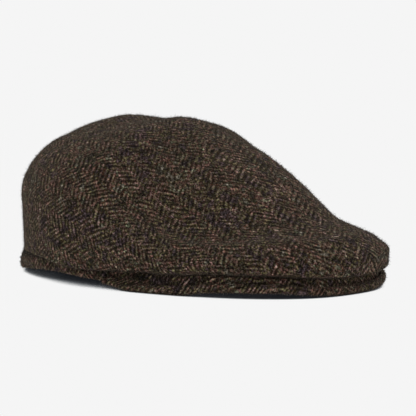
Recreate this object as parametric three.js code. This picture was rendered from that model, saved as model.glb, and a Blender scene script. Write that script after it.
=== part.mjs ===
// A tweed flat cap lying on a table: a soft one-piece crown, an upright hem band round the
// head opening, and a stiff cloth-covered peak. Millimetres, +Z up, the front towards -Y.
import * as THREE from "three";

// Head opening, to the outer face of the hem band
const HEAD_LENGTH = 206;
const HEAD_WIDTH = 166;

// Cloth and board
const CROWN_WALL = 2;
const BAND_THICKNESS = 3;
const BAND_HEIGHT = 11;
const PEAK_THICKNESS = 3.6;
const SEAM_GAP = 0.3;

// How far each piece reaches
const CROWN_HEIGHT = 103;
const SIDE_OVERHANG = 10.5;
const BACK_OVERHANG = 2;
const PEAK_REACH = 51.5;
const PEAK_SIDE_REACH = 5;
const NOSE_OVERHANG = 4;
const RIM_MARGIN = 11;
const PEAK_INNER_RISE = 21;
const PEAK_BOW = 3.4;
const EDGE_LIFT = 4.4;
const HEM_ARCH = 6.6;
const HEM_FLARE = 4.2;

// Squareness of the outlines seen from above: 2 is an ellipse
const CROWN_SQUARENESS = 2.3;
const PEAK_SQUARENESS = 2.45;

// Turns are angles round the head's axis, from the front, in degrees: the peak's corner and the
// stretch over which it tapers, where the crown's rim climbs from the peak to the band, and
// where the crown's overhang has died away behind the ears
const PEAK_CORNER_TURN = 78;
const CORNER_TAPER = 14;
const RIM_CLIMB_TURN = 50;
const NAPE_TURN = 150;

// Rounding: the edges of the band and the peak as a share of their thickness, and the rim's bend
const EDGE_ROUND = 1 / 3;
const RIM_EASE = 1.2;

// Shares of the hem's flare: at the seam with the crown, and on the inner side of the foot
const SEAM_FLARE = 0.4;
const FOOT_INNER_FLARE = 0.75;

// Fineness of the faceted surfaces
const CROWN_STEPS = 64;
const CROWN_ROWS = 18;
const BAND_STEPS = 72;
const PEAK_STEPS = 44;

// The hem line above the table: its arch over the ears, and its climb to the front under the peak.
// arch is a share of HEM_ARCH, rise of PEAK_INNER_RISE, tall of BAND_HEIGHT.
const HEM_LINE = [
  { turn: 0, arch: 0, rise: 1, tall: 0.8 },
  { turn: 20, arch: 0, rise: 0.9, tall: 0.8 },
  { turn: 40, arch: 0, rise: 0.7, tall: 0.8 },
  { turn: 60, arch: 0.26, rise: 0.32, tall: 0.72 },
  { turn: 76, arch: 0.45, rise: 0.06, tall: 0.68 },
  { turn: 90, arch: 0.74, rise: 0, tall: 0.62 },
  { turn: 110, arch: 1, rise: 0, tall: 0.76 },
  { turn: 130, arch: 0.72, rise: 0, tall: 0.95 },
  { turn: 155, arch: 0.1, rise: 0, tall: 1.12 },
  { turn: 165, arch: 0, rise: 0, tall: 1.15 },
  { turn: 180, arch: 0, rise: 0, tall: 1.15 },
];

// The peak's outer edge above the table, as a share of EDGE_LIFT: it rests at its sides.
// toCorner is the share of the way from the front to the peak's corner.
const EDGE_LINE = [
  { toCorner: 0, lift: 0.1 },
  { toCorner: 0.1, lift: 0.2 },
  { toCorner: 0.3, lift: 0.82 },
  { toCorner: 0.48, lift: 0.66 },
  { toCorner: 0.6, lift: 0 },
  { toCorner: 0.8, lift: 0 },
  { toCorner: 1, lift: 0.6 },
];

// The crown from its rim to its top. reach is the ring's share of the widest outline, tuck the
// share of the overhang by which it is pulled back to the rim. The other columns are heights at
// five turns, as shares of the way from the rim up to CROWN_HEIGHT.
const RING_TURNS = { front: 0, cheek: 35, side: 90, nape: 135, back: 180 };
const CROWN_RINGS = [
  { reach: 1, tuck: 1, front: 0, cheek: 0, side: 0, nape: 0, back: 0 },
  { reach: 1, tuck: 0.24, front: 0.012, cheek: 0.042, side: 0.005, nape: 0.01, back: 0.03 },
  { reach: 1, tuck: 0.05, front: 0.042, cheek: 0.064, side: 0.06, nape: 0.08, back: 0.09 },
  { reach: 1, tuck: 0, front: 0.095, cheek: 0.098, side: 0.18, nape: 0.25, back: 0.26 },
  { reach: 0.985, tuck: 0, front: 0.152, cheek: 0.128, side: 0.34, nape: 0.45, back: 0.46 },
  { reach: 0.93, tuck: 0, front: 0.232, cheek: 0.178, side: 0.5, nape: 0.63, back: 0.65 },
  { reach: 0.83, tuck: 0, front: 0.303, cheek: 0.233, side: 0.655, nape: 0.76, back: 0.775 },
  { reach: 0.69, tuck: 0, front: 0.438, cheek: 0.4, side: 0.79, nape: 0.855, back: 0.865 },
  { reach: 0.5, tuck: 0, front: 0.66, cheek: 0.67, side: 0.9, nape: 0.93, back: 0.94 },
  { reach: 0.27, tuck: 0, front: 0.875, cheek: 0.895, side: 0.965, nape: 0.98, back: 0.985 },
  { reach: 0, tuck: 0, front: 1, cheek: 1, side: 1, nape: 1, back: 1 },
];

// Hollows of the soft top, seen from above: shares of HEAD_WIDTH across, of HEAD_LENGTH along
// (towards the back), and of CROWN_HEIGHT in depth.
const TOP_DENTS = [
  { across: 0, along: 0.09, wide: 0.45, long: 0.12, depth: 0.045 },
];

// The dents fade in between these places on the way from the rim to the top
const DENT_START = 0.45;
const DENT_FULL = 0.75;

// Small steps for finding which way the cloth faces
const PLACE_STEP = 0.01;
const TURN_STEP = 1;

// Smooth curve between two values with given slopes, t from 0 to 1
function hermite(from, fromSlope, to, toSlope, t) {
  const t2 = t * t;
  const t3 = t2 * t;
  const start = (2 * t3 - 3 * t2 + 1) * from + (t3 - 2 * t2 + t) * fromSlope;
  return start + (3 * t2 - 2 * t3) * to + (t3 - t2) * toSlope;
}

// Smooth value through stations and their values, with no overshoot and flat at both ends
function smoothValue(stations, values, at) {
  const last = stations.length - 1;
  const slope = (i) => (values[i + 1] - values[i]) / (stations[i + 1] - stations[i]);
  const tangent = (i) => {
    if (i === 0 || i === last) return 0;
    const before = slope(i - 1);
    const after = slope(i);
    return before * after <= 0 ? 0 : (2 * before * after) / (before + after);
  };
  let i = 0;
  while (i < last - 1 && at > stations[i + 1]) i += 1;
  const span = stations[i + 1] - stations[i];
  const t = THREE.MathUtils.clamp((at - stations[i]) / span, 0, 1);
  return hermite(values[i], tangent(i) * span, values[i + 1], tangent(i + 1) * span, t);
}

// One column of a table, with another column as its stations
function readTable(table, key, column, at) {
  return smoothValue(table.map((row) => row[key]), table.map((row) => row[column]), at);
}

// One column of the crown's rings, place 0 at the rim and 1 at the top. Past the top it comes
// down the other side, so the top is smooth.
function readRings(column, place) {
  const last = CROWN_RINGS.length - 1;
  const at = THREE.MathUtils.clamp(place, 0, 1) * last;
  const i = Math.min(Math.floor(at), last - 1);
  const value = (k) => {
    const ring = CROWN_RINGS[Math.max(k > last ? 2 * last - k : k, 0)];
    return k > last && column === "reach" ? -ring.reach : ring[column];
  };
  const fromSlope = (value(i + 1) - value(i - 1)) / 2;
  const toSlope = (value(i + 2) - value(i)) / 2;
  return hermite(value(i), fromSlope, value(i + 1), toSlope, at - i);
}

// Height of a ring at one turn, as a share of the way up
function ringRise(turn, place) {
  const names = Object.keys(RING_TURNS);
  const values = names.map((name) => readRings(name, place));
  return smoothValue(Object.values(RING_TURNS), values, Math.abs(turn));
}

// Distance from the head's axis to a rounded outline, at one turn
function outlineRadius(turn, front, side, back, squareness) {
  const angle = THREE.MathUtils.degToRad(turn);
  const along = Math.cos(angle) / (Math.abs(turn) < 90 ? front : back);
  const across = Math.sin(angle) / side;
  const sum = Math.abs(along) ** squareness + Math.abs(across) ** squareness;
  return sum ** (-1 / squareness);
}

// A point at a distance from the head's axis, at one turn and height
function polar(turn, radius, height) {
  const angle = THREE.MathUtils.degToRad(turn);
  return new THREE.Vector3(radius * Math.sin(angle), -radius * Math.cos(angle), height);
}

function headRadius(turn) {
  return outlineRadius(turn, HEAD_LENGTH / 2, HEAD_WIDTH / 2, HEAD_LENGTH / 2, 2);
}

function peakFreeRadius(turn) {
  const front = HEAD_LENGTH / 2 + PEAK_REACH;
  return outlineRadius(turn, front, HEAD_WIDTH / 2 + PEAK_SIDE_REACH, front, PEAK_SQUARENESS);
}

// The peak's outline tapers in to the band over its last few degrees
function peakRadius(turn) {
  const inner = headRadius(turn) + SEAM_GAP;
  const left = THREE.MathUtils.smoothstep(PEAK_CORNER_TURN - Math.abs(turn), 0, CORNER_TAPER);
  return inner + PEAK_THICKNESS + (peakFreeRadius(turn) - inner - PEAK_THICKNESS) * left;
}

function hemLow(turn) {
  const arch = readTable(HEM_LINE, "turn", "arch", Math.abs(turn));
  const rise = readTable(HEM_LINE, "turn", "rise", Math.abs(turn));
  return arch * HEM_ARCH + rise * PEAK_INNER_RISE;
}

function hemHigh(turn) {
  return hemLow(turn) + readTable(HEM_LINE, "turn", "tall", Math.abs(turn)) * BAND_HEIGHT;
}

// Underside of the peak, from the band (0) to its outer edge (1)
function peakUnder(turn, share) {
  const toCorner = Math.abs(turn) / PEAK_CORNER_TURN;
  const edge = readTable(EDGE_LINE, "toCorner", "lift", toCorner) * EDGE_LIFT;
  const width = peakRadius(turn) - headRadius(turn);
  const bow = 4 * PEAK_BOW * (width / PEAK_REACH) * share * (1 - share);
  return hemLow(turn) * (1 - share) + edge * share + bow;
}

// How far the foot of the band flares out, where the cap stands on it
function hemFlare(turn) {
  return HEM_FLARE * THREE.MathUtils.smoothstep(Math.abs(turn), PEAK_CORNER_TURN, NAPE_TURN);
}

// The crown's rim stands on the band, and on the peak where the peak reaches past its margin
function rimRadius(turn) {
  const band = headRadius(turn) + hemFlare(turn) * SEAM_FLARE;
  if (Math.abs(turn) > PEAK_CORNER_TURN) return band;
  const over = peakRadius(turn) - RIM_MARGIN - band;
  return band + (over + Math.hypot(over, RIM_EASE)) / 2;
}

function rimHeight(turn) {
  const onBand = hemHigh(turn) + SEAM_GAP;
  if (Math.abs(turn) > PEAK_CORNER_TURN) return onBand;
  const width = peakRadius(turn) - headRadius(turn);
  const share = (rimRadius(turn) - headRadius(turn)) / width;
  const onPeak = peakUnder(turn, share) + PEAK_THICKNESS + SEAM_GAP;
  const climb = THREE.MathUtils.smoothstep(Math.abs(turn), RIM_CLIMB_TURN, PEAK_CORNER_TURN);
  return THREE.MathUtils.lerp(onPeak, Math.max(onBand, onPeak), climb);
}

function topDent(point) {
  return TOP_DENTS.reduce((sum, dent) => {
    const across = (point.x / HEAD_WIDTH - dent.across) / dent.wide;
    const along = (point.y / HEAD_LENGTH - dent.along) / dent.long;
    return sum + dent.depth * CROWN_HEIGHT * Math.exp(-across * across - along * along);
  }, 0);
}

// The crown's widest outline: past the peak at the front, over the band at the sides
function crownReach(turn) {
  if (Math.abs(turn) < 90) {
    const front = HEAD_LENGTH / 2 + PEAK_REACH + NOSE_OVERHANG;
    return outlineRadius(turn, front, HEAD_WIDTH / 2 + SIDE_OVERHANG, front, CROWN_SQUARENESS);
  }
  const toBack = THREE.MathUtils.smoothstep(Math.abs(turn), 90, NAPE_TURN);
  return headRadius(turn) + THREE.MathUtils.lerp(SIDE_OVERHANG, BACK_OVERHANG, toBack);
}

// The crown's outer face, from the rim (0) to the top (1)
function crownOuter(turn, place) {
  const rim = rimRadius(turn);
  const reach = crownReach(turn);
  const radius = reach * readRings("reach", place) - (reach - rim) * readRings("tuck", place);
  const low = rimHeight(turn);
  const point = polar(turn, radius, low + ringRise(turn, place) * (CROWN_HEIGHT - low));
  point.z -= topDent(point) * THREE.MathUtils.smoothstep(place, DENT_START, DENT_FULL);
  return point;
}

// The crown's inner face, one wall inside the outer face
function crownInner(turn, place) {
  const low = Math.max(place - PLACE_STEP, 0);
  const up = crownOuter(turn, place + PLACE_STEP).sub(crownOuter(turn, low));
  const round = crownOuter(turn + TURN_STEP, place).sub(crownOuter(turn - TURN_STEP, place));
  const inward = up.cross(round).normalize().multiplyScalar(CROWN_WALL);
  return crownOuter(turn, place).add(inward);
}

// A closed body from rings of points, each ring a list, the first and last shut by fans or caps
function bodyFromRings(rings) {
  const positions = rings.flat().flatMap((point) => [point.x, point.y, point.z]);
  const starts = [];
  rings.reduce((start, ring) => {
    starts.push(start);
    return start + ring.length;
  }, 0);
  const triangles = [];
  for (let k = 0; k < rings.length - 1; k += 1) {
    const lower = rings[k].length;
    const upper = rings[k + 1].length;
    const count = Math.max(lower, upper);
    for (let i = 0; i < count; i += 1) {
      const next = (i + 1) % count;
      const a = starts[k] + (lower === 1 ? 0 : i);
      const b = starts[k] + (lower === 1 ? 0 : next);
      const c = starts[k + 1] + (upper === 1 ? 0 : next);
      const d = starts[k + 1] + (upper === 1 ? 0 : i);
      if (lower > 1) triangles.push(a, c, b);
      if (upper > 1) triangles.push(a, d, c);
    }
  }
  const geometry = new THREE.BufferGeometry();
  geometry.setAttribute("position", new THREE.Float32BufferAttribute(positions, 3));
  geometry.setIndex(triangles);
  geometry.computeVertexNormals();
  return geometry;
}

function middle(points) {
  const sum = points.reduce((total, point) => total.add(point), new THREE.Vector3());
  return sum.divideScalar(points.length);
}

function makeCrown() {
  const turns = Array.from({ length: CROWN_STEPS }, (_, i) => -180 + (360 * i) / CROWN_STEPS);
  const rings = [[crownOuter(0, 1)]];
  for (let row = CROWN_ROWS - 1; row >= 0; row -= 1) {
    rings.push(turns.map((turn) => crownOuter(turn, row / CROWN_ROWS)));
  }
  for (let row = 0; row < CROWN_ROWS; row += 1) {
    rings.push(turns.map((turn) => crownInner(turn, row / CROWN_ROWS)));
  }
  const top = crownOuter(0, 1);
  top.z -= CROWN_WALL;
  rings.push([top]);
  return bodyFromRings(rings);
}

// The band's rounded section at one turn, leaning out to its foot
function bandSection(turn) {
  const low = hemLow(turn);
  const high = hemHigh(turn);
  const round = BAND_THICKNESS * EDGE_ROUND;
  const outside = -hemFlare(turn);
  const inside = BAND_THICKNESS - hemFlare(turn) * FOOT_INNER_FLARE;
  const seam = -hemFlare(turn) * SEAM_FLARE;
  const corners = [
    { inward: outside, height: low + round },
    { inward: outside + round, height: low },
    { inward: inside - round, height: low },
    { inward: inside, height: low + round },
    { inward: seam + BAND_THICKNESS, height: high - round },
    { inward: seam + BAND_THICKNESS - round, height: high },
    { inward: seam + round, height: high },
    { inward: seam, height: high - round },
    { inward: outside, height: (low + high) / 2 },
  ];
  return corners.map(({ inward, height }) => polar(turn, headRadius(turn) - inward, height));
}

// A tube of sections that runs right round and closes on itself
function closedTube(sections) {
  const size = sections[0].length;
  const count = sections.length;
  const positions = sections.flat().flatMap((point) => [point.x, point.y, point.z]);
  const triangles = [];
  for (let k = 0; k < count; k += 1) {
    for (let i = 0; i < size; i += 1) {
      const a = k * size + i;
      const b = k * size + ((i + 1) % size);
      const c = ((k + 1) % count) * size + ((i + 1) % size);
      const d = ((k + 1) % count) * size + i;
      triangles.push(a, b, c, a, c, d);
    }
  }
  const geometry = new THREE.BufferGeometry();
  geometry.setAttribute("position", new THREE.Float32BufferAttribute(positions, 3));
  geometry.setIndex(triangles);
  geometry.computeVertexNormals();
  return geometry;
}

function makeBand() {
  const turns = Array.from({ length: BAND_STEPS }, (_, i) => -180 + (360 * i) / BAND_STEPS);
  return closedTube(turns.map(bandSection));
}

// The peak's section at one turn: along the top to the rounded edge, and back underneath
function peakSection(turn) {
  const inner = headRadius(turn) + SEAM_GAP;
  const outer = peakRadius(turn);
  const round = PEAK_THICKNESS * EDGE_ROUND;
  const shares = [0, 0.25, 0.5, 0.75, 1];
  const body = outer - round - inner;
  const top = shares.map((share) => [inner + body * share, peakUnder(turn, share) + PEAK_THICKNESS]);
  const edge = peakUnder(turn, 1);
  const lip = [
    [outer, edge + PEAK_THICKNESS - round],
    [outer, edge + round],
  ];
  const under = shares.map((share) => [inner + body * share, peakUnder(turn, share)]).reverse();
  return [...top, ...lip, ...under].map(([radius, height]) => polar(turn, radius, height));
}

function makePeak() {
  const turns = Array.from({ length: PEAK_STEPS + 1 }, (_, i) => {
    return PEAK_CORNER_TURN * (1 - (2 * i) / PEAK_STEPS);
  });
  const sections = turns.map((turn) => peakSection(turn));
  const first = [middle(sections[0])];
  const last = [middle(sections[sections.length - 1])];
  return bodyFromRings([first, ...sections, last]);
}

function piece(name, geometry, color) {
  const material = new THREE.MeshStandardMaterial({ color, roughness: 0.95, metalness: 0 });
  const mesh = new THREE.Mesh(geometry, material);
  mesh.name = name;
  return mesh;
}

const cap = new THREE.Group();
cap.add(piece("crown", makeCrown(), 0x3a312a));
cap.add(piece("hem_band", makeBand(), 0x352c26));
cap.add(piece("peak", makePeak(), 0x382f28));

// The origin is under the middle of the whole cap, on the table
const box = new THREE.Box3().setFromObject(cap);
const centre = box.getCenter(new THREE.Vector3());
cap.position.set(-centre.x, -centre.y, -box.min.z);
cap.updateMatrixWorld(true);

export default cap;
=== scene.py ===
"""A dark brown herringbone tweed flat cap, lying on a pale floor in soft studio light.

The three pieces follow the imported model's own forms, made again as finer, softer surfaces. The cloth
is a real weave: a warp of mixed brown yarns over a near-black weft, laid over the crown by flattening
it as a cutter would, with two short darts at the back. Sizes are in millimetres until a mesh is made.
"""

import math

import bpy
import numpy as np
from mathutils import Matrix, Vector, noise


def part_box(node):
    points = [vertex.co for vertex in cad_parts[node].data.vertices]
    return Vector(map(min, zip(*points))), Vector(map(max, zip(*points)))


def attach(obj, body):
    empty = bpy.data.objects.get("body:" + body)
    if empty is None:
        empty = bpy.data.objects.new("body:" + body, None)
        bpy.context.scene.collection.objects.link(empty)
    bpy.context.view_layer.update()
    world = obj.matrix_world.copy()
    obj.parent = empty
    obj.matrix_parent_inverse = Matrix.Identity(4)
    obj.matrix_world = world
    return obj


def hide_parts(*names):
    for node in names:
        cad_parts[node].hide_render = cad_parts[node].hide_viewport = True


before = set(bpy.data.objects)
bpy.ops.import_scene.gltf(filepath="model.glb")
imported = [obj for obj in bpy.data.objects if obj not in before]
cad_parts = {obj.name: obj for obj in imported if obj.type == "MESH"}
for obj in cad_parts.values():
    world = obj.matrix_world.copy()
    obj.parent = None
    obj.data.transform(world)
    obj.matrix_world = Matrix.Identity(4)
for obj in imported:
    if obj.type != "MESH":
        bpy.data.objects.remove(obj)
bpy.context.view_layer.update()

MM = 0.001

# Head opening, to the outer face of the hem band
HEAD_LENGTH = 206
HEAD_WIDTH = 166

# Cloth and board
CROWN_WALL = 2
BAND_THICKNESS = 3
BAND_HEIGHT = 11
PEAK_THICKNESS = 3.6
SEAM_GAP = 0.3

# How far each piece reaches
CROWN_HEIGHT = 103
SIDE_OVERHANG = 10.5
BACK_OVERHANG = 2
PEAK_REACH = 51.5
PEAK_SIDE_REACH = 5
NOSE_OVERHANG = 4
RIM_MARGIN = 11
PEAK_INNER_RISE = 21
PEAK_BOW = 3.4
EDGE_LIFT = 4.4
HEM_ARCH = 6.6
HEM_FLARE = 4.2
SEAM_FLARE = 0.4

# Squareness of the outlines seen from above: 2 is an ellipse
CROWN_SQUARENESS = 2.3
PEAK_SQUARENESS = 2.45

# Turns are angles round the head's axis, from the front, in degrees
PEAK_CORNER_TURN = 78
CORNER_TAPER = 14
RIM_CLIMB_TURN = 50
NAPE_TURN = 150
RIM_EASE = 1.2

# The hem line: turn, arch (share of HEM_ARCH), rise (of PEAK_INNER_RISE), tall (of BAND_HEIGHT)
HEM_LINE = [
    (0, 0, 1, 0.8),
    (20, 0, 0.9, 0.8),
    (40, 0, 0.7, 0.8),
    (60, 0.26, 0.32, 0.72),
    (76, 0.45, 0.06, 0.68),
    (90, 0.74, 0, 0.62),
    (110, 1, 0, 0.76),
    (130, 0.72, 0, 0.95),
    (155, 0.1, 0, 1.12),
    (165, 0, 0, 1.15),
    (180, 0, 0, 1.15),
]

# The peak's outer edge: share of the way from the front to its corner, lift (share of EDGE_LIFT)
EDGE_LINE = [(0, 0.1), (0.1, 0.2), (0.3, 0.82), (0.48, 0.66), (0.6, 0), (0.8, 0), (1, 0.6)]

# The crown from its rim to its top: reach, tuck, then the heights at the five turns
RING_TURNS = [0, 35, 90, 135, 180]
CROWN_RINGS = [
    (1, 1, 0, 0, 0, 0, 0),
    (1, 0.24, 0.012, 0.042, 0.005, 0.01, 0.03),
    (1, 0.05, 0.042, 0.064, 0.06, 0.08, 0.09),
    (1, 0, 0.095, 0.098, 0.18, 0.25, 0.26),
    (0.985, 0, 0.152, 0.128, 0.34, 0.45, 0.46),
    (0.93, 0, 0.232, 0.178, 0.5, 0.63, 0.65),
    (0.83, 0, 0.303, 0.233, 0.655, 0.76, 0.775),
    (0.69, 0, 0.438, 0.4, 0.79, 0.855, 0.865),
    (0.5, 0, 0.66, 0.67, 0.9, 0.93, 0.94),
    (0.27, 0, 0.875, 0.895, 0.965, 0.98, 0.985),
    (0, 0, 1, 1, 1, 1, 1),
]

# Hollow of the soft top: shares of the head's width and length, and of CROWN_HEIGHT in depth
TOP_DENT = {"along": 0.09, "wide": 0.45, "long": 0.12, "depth": 0.045}
DENT_START = 0.45
DENT_FULL = 0.75

# The weave: yarns this far apart, this many in each column of the herringbone
YARN_PITCH = 0.98
COLUMN_YARNS = 8

# Darts at the back, seen from above, and how far up the crown they reach
DART_TURN = 146
DART_TOP = 0.52

# Camera: the photograph's angle, its scale at the model's origin, and where the origin lies in it
PHOTO_SIDE = 416
VIEW_TURN = -48
VIEW_RISE = 6.2
VIEW_DISTANCE = 2200
PIXEL_SIZE = 0.64
ORIGIN_PIXEL = (202.5, 276.4)
SENSOR = 36
CLIP = (0.05, 50)


def smoothstep(value, low, high):
    t = np.clip((value - low) / (high - low), 0, 1)
    return t * t * (3 - 2 * t)


def bell(offset, width):
    share = offset / width
    return np.exp(-share * share)


def hermite(start, start_slope, end, end_slope, t):
    t2 = t * t
    t3 = t2 * t
    first = (2 * t3 - 3 * t2 + 1) * start + (t3 - 2 * t2 + t) * start_slope
    return first + (3 * t2 - 2 * t3) * end + (t3 - t2) * end_slope


def pick(values, index):
    return np.take_along_axis(values, index[None], 0)[0]


def smooth_value(stations, values, at):
    """Smooth value through stations and their values, with no overshoot and flat at both ends."""
    at = np.asarray(at, float)
    stations = np.asarray(stations, float)
    values = np.array([np.broadcast_to(value, at.shape) for value in values], float)
    spans = np.diff(stations).reshape(-1, *[1] * at.ndim)
    slopes = np.diff(values, axis=0) / spans
    tangents = np.zeros_like(values)
    agree = slopes[:-1] * slopes[1:] > 0
    total = np.where(agree, slopes[:-1] + slopes[1:], 1)
    tangents[1:-1] = np.where(agree, 2 * slopes[:-1] * slopes[1:] / total, 0)
    index = np.clip(np.searchsorted(stations, at) - 1, 0, len(stations) - 2)
    span = np.diff(stations)[index]
    t = np.clip((at - stations[index]) / span, 0, 1)
    start_slope = pick(tangents, index) * span
    end_slope = pick(tangents, index + 1) * span
    return hermite(pick(values, index), start_slope, pick(values, index + 1), end_slope, t)


def read_table(table, column, at):
    return smooth_value([row[0] for row in table], [row[column] for row in table], at)


def read_rings(column, place):
    """One column of the crown's rings, place 0 at the rim and 1 at the top."""
    values = [row[column] for row in CROWN_RINGS]
    over = [-value if column == 0 else value for value in values[-2:-4:-1]]
    padded = np.array([values[0], *values, *over], float)
    last = len(values) - 1
    at = np.clip(place, 0, 1) * last
    i = np.minimum(np.floor(at).astype(int), last - 1) + 1
    start_slope = (padded[i + 1] - padded[i - 1]) / 2
    end_slope = (padded[i + 2] - padded[i]) / 2
    return hermite(padded[i], start_slope, padded[i + 1], end_slope, at - (i - 1))


def ring_rise(turn, place):
    heights = [read_rings(2 + k, place) for k in range(len(RING_TURNS))]
    return smooth_value(RING_TURNS, heights, np.abs(turn))


def outline_radius(turn, front, side, back, squareness):
    angle = np.radians(turn)
    along = np.cos(angle) / np.where(np.abs(turn) < 90, front, back)
    across = np.sin(angle) / side
    total = np.abs(along) ** squareness + np.abs(across) ** squareness
    return total ** (-1 / squareness)


def polar(turn, radius, height):
    angle = np.radians(turn)
    parts = np.broadcast_arrays(radius * np.sin(angle), -radius * np.cos(angle), height)
    return np.stack(parts, axis=-1)


def head_radius(turn):
    return outline_radius(turn, HEAD_LENGTH / 2, HEAD_WIDTH / 2, HEAD_LENGTH / 2, 2)


def peak_radius(turn):
    inner = head_radius(turn) + SEAM_GAP
    front = HEAD_LENGTH / 2 + PEAK_REACH
    side = HEAD_WIDTH / 2 + PEAK_SIDE_REACH
    free = outline_radius(turn, front, side, front, PEAK_SQUARENESS)
    left = smoothstep(PEAK_CORNER_TURN - np.abs(turn), 0, CORNER_TAPER)
    return inner + PEAK_THICKNESS + (free - inner - PEAK_THICKNESS) * left


def hem_low(turn):
    arch = read_table(HEM_LINE, 1, np.abs(turn)) * HEM_ARCH
    return arch + read_table(HEM_LINE, 2, np.abs(turn)) * PEAK_INNER_RISE


def hem_high(turn):
    return hem_low(turn) + read_table(HEM_LINE, 3, np.abs(turn)) * BAND_HEIGHT


def peak_under(turn, share):
    """Underside of the peak, from the band (0) to its outer edge (1)."""
    edge = read_table(EDGE_LINE, 1, np.abs(turn) / PEAK_CORNER_TURN) * EDGE_LIFT
    width = peak_radius(turn) - head_radius(turn)
    bow = 4 * PEAK_BOW * (width / PEAK_REACH) * share * (1 - share)
    return hem_low(turn) * (1 - share) + edge * share + bow


def hem_flare(turn):
    return HEM_FLARE * smoothstep(np.abs(turn), PEAK_CORNER_TURN, NAPE_TURN)


def rim_radius(turn):
    band = head_radius(turn) + hem_flare(turn) * SEAM_FLARE
    over = peak_radius(turn) - RIM_MARGIN - band
    eased = band + (over + np.hypot(over, RIM_EASE)) / 2
    return np.where(np.abs(turn) > PEAK_CORNER_TURN, band, eased)


def rim_height(turn):
    on_band = hem_high(turn) + SEAM_GAP
    width = peak_radius(turn) - head_radius(turn)
    share = (rim_radius(turn) - head_radius(turn)) / width
    on_peak = peak_under(turn, share) + PEAK_THICKNESS + SEAM_GAP
    climb = smoothstep(np.abs(turn), RIM_CLIMB_TURN, PEAK_CORNER_TURN)
    joined = on_peak + (np.maximum(on_band, on_peak) - on_peak) * climb
    return np.where(np.abs(turn) > PEAK_CORNER_TURN, on_band, joined)


def crown_reach(turn):
    front = HEAD_LENGTH / 2 + PEAK_REACH + NOSE_OVERHANG
    side = HEAD_WIDTH / 2 + SIDE_OVERHANG
    ahead = outline_radius(turn, front, side, front, CROWN_SQUARENESS)
    to_back = smoothstep(np.abs(turn), 90, NAPE_TURN)
    behind = head_radius(turn) + SIDE_OVERHANG + (BACK_OVERHANG - SIDE_OVERHANG) * to_back
    return np.where(np.abs(turn) < 90, ahead, behind)


def crown_outer(turn, place):
    """The crown's outer face, from the rim (0) to the top (1), round the head's axis."""
    rim = rim_radius(turn)
    reach = crown_reach(turn)
    radius = reach * read_rings(0, place) - (reach - rim) * read_rings(1, place)
    low = rim_height(turn)
    point = polar(turn, radius, low + ring_rise(turn, place) * (CROWN_HEIGHT - low))
    across = bell(point[..., 0] / HEAD_WIDTH, TOP_DENT["wide"])
    along = bell(point[..., 1] / HEAD_LENGTH - TOP_DENT["along"], TOP_DENT["long"])
    dent = TOP_DENT["depth"] * CROWN_HEIGHT * across * along
    point[..., 2] -= dent * smoothstep(place, DENT_START, DENT_FULL)
    return point


def unit(vectors):
    return vectors / np.maximum(np.linalg.norm(vectors, axis=-1, keepdims=True), 1e-12)


# Where the head's axis stands in the frame, so that each piece lies on its CAD node
band_low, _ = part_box("hem_band")
AXIS_Y = band_low.y / MM + HEAD_LENGTH / 2


def placed(points):
    """From millimetres round the head's axis to metres in the frame."""
    return (points + np.array([0, AXIS_Y, 0])) * MM


# Cloth on the crown

# The herringbone columns' slope below the level, at turns from the front: on the sides they run
# down towards the peak. Behind the darts they hang straight down.
COLUMN_LEAN = [(0, 90), (20, 68), (48, 38), (60, 31), (80, 23), (100, 14), (125, 8), (146, 5), (180, 5)]
BACK_LEAN = -90

# From the top's direction to the side's they turn between these places
SIDE_START = 0.72
SIDE_FULL = 0.5

CLOTH_ROWS = 24
CLOTH_TURNS_FRONT = 34
CLOTH_TURNS_BACK = 10

# How firmly points are tied, and the least step between points that counts, in millimetres
TIE_WEIGHT = 300.0
SHORTEST_STEP = 0.05


def column_lean(turn, place, behind):
    """Slope of the columns below the level, in radians: straight to the front on the top."""
    top = 90 - turn
    side = np.full_like(top, BACK_LEAN) if behind else read_table(COLUMN_LEAN, 1, turn)
    share = 1 - smoothstep(place, SIDE_FULL, SIDE_START)
    return np.radians(top + (side - top) * share)


def cloth_directions(turn, place, behind):
    """Unit vectors on the crown along the columns and across them."""
    step = 0.5
    rise = 0.005
    low = np.clip(place - rise, 0, 1)
    high = np.clip(place + rise, 0, 1)
    forward = unit(crown_outer(turn - step, place) - crown_outer(turn + step, place))
    down = crown_outer(turn, low) - crown_outer(turn, high)
    down = unit(down - forward * (down * forward).sum(-1, keepdims=True))
    lean = column_lean(turn, place, behind)[..., None]
    along = forward * np.cos(lean) + down * np.sin(lean)
    across = down * np.cos(lean) - forward * np.sin(lean)
    return along, across


def grid_edges(index, turns, places, behind):
    """Neighbouring points of a grid with the steps along and across the cloth between them."""
    turn, place = np.meshgrid(turns, places)
    point = crown_outer(turn, place)
    found = []
    for ahead, after in ((np.s_[:, :-1], np.s_[:, 1:]), (np.s_[:-1, :], np.s_[1:, :])):
        middle_turn = (turn[ahead] + turn[after]) / 2
        middle_place = (place[ahead] + place[after]) / 2
        step = point[after] - point[ahead]
        along, across = cloth_directions(middle_turn, middle_place, behind)
        length = np.linalg.norm(step, axis=-1)
        keep = length > SHORTEST_STEP
        found.append((
            index[ahead][keep],
            index[after][keep],
            (step * across).sum(-1)[keep],
            (step * along).sum(-1)[keep],
            1 / np.sqrt(length[keep]),
        ))
    return found


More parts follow.
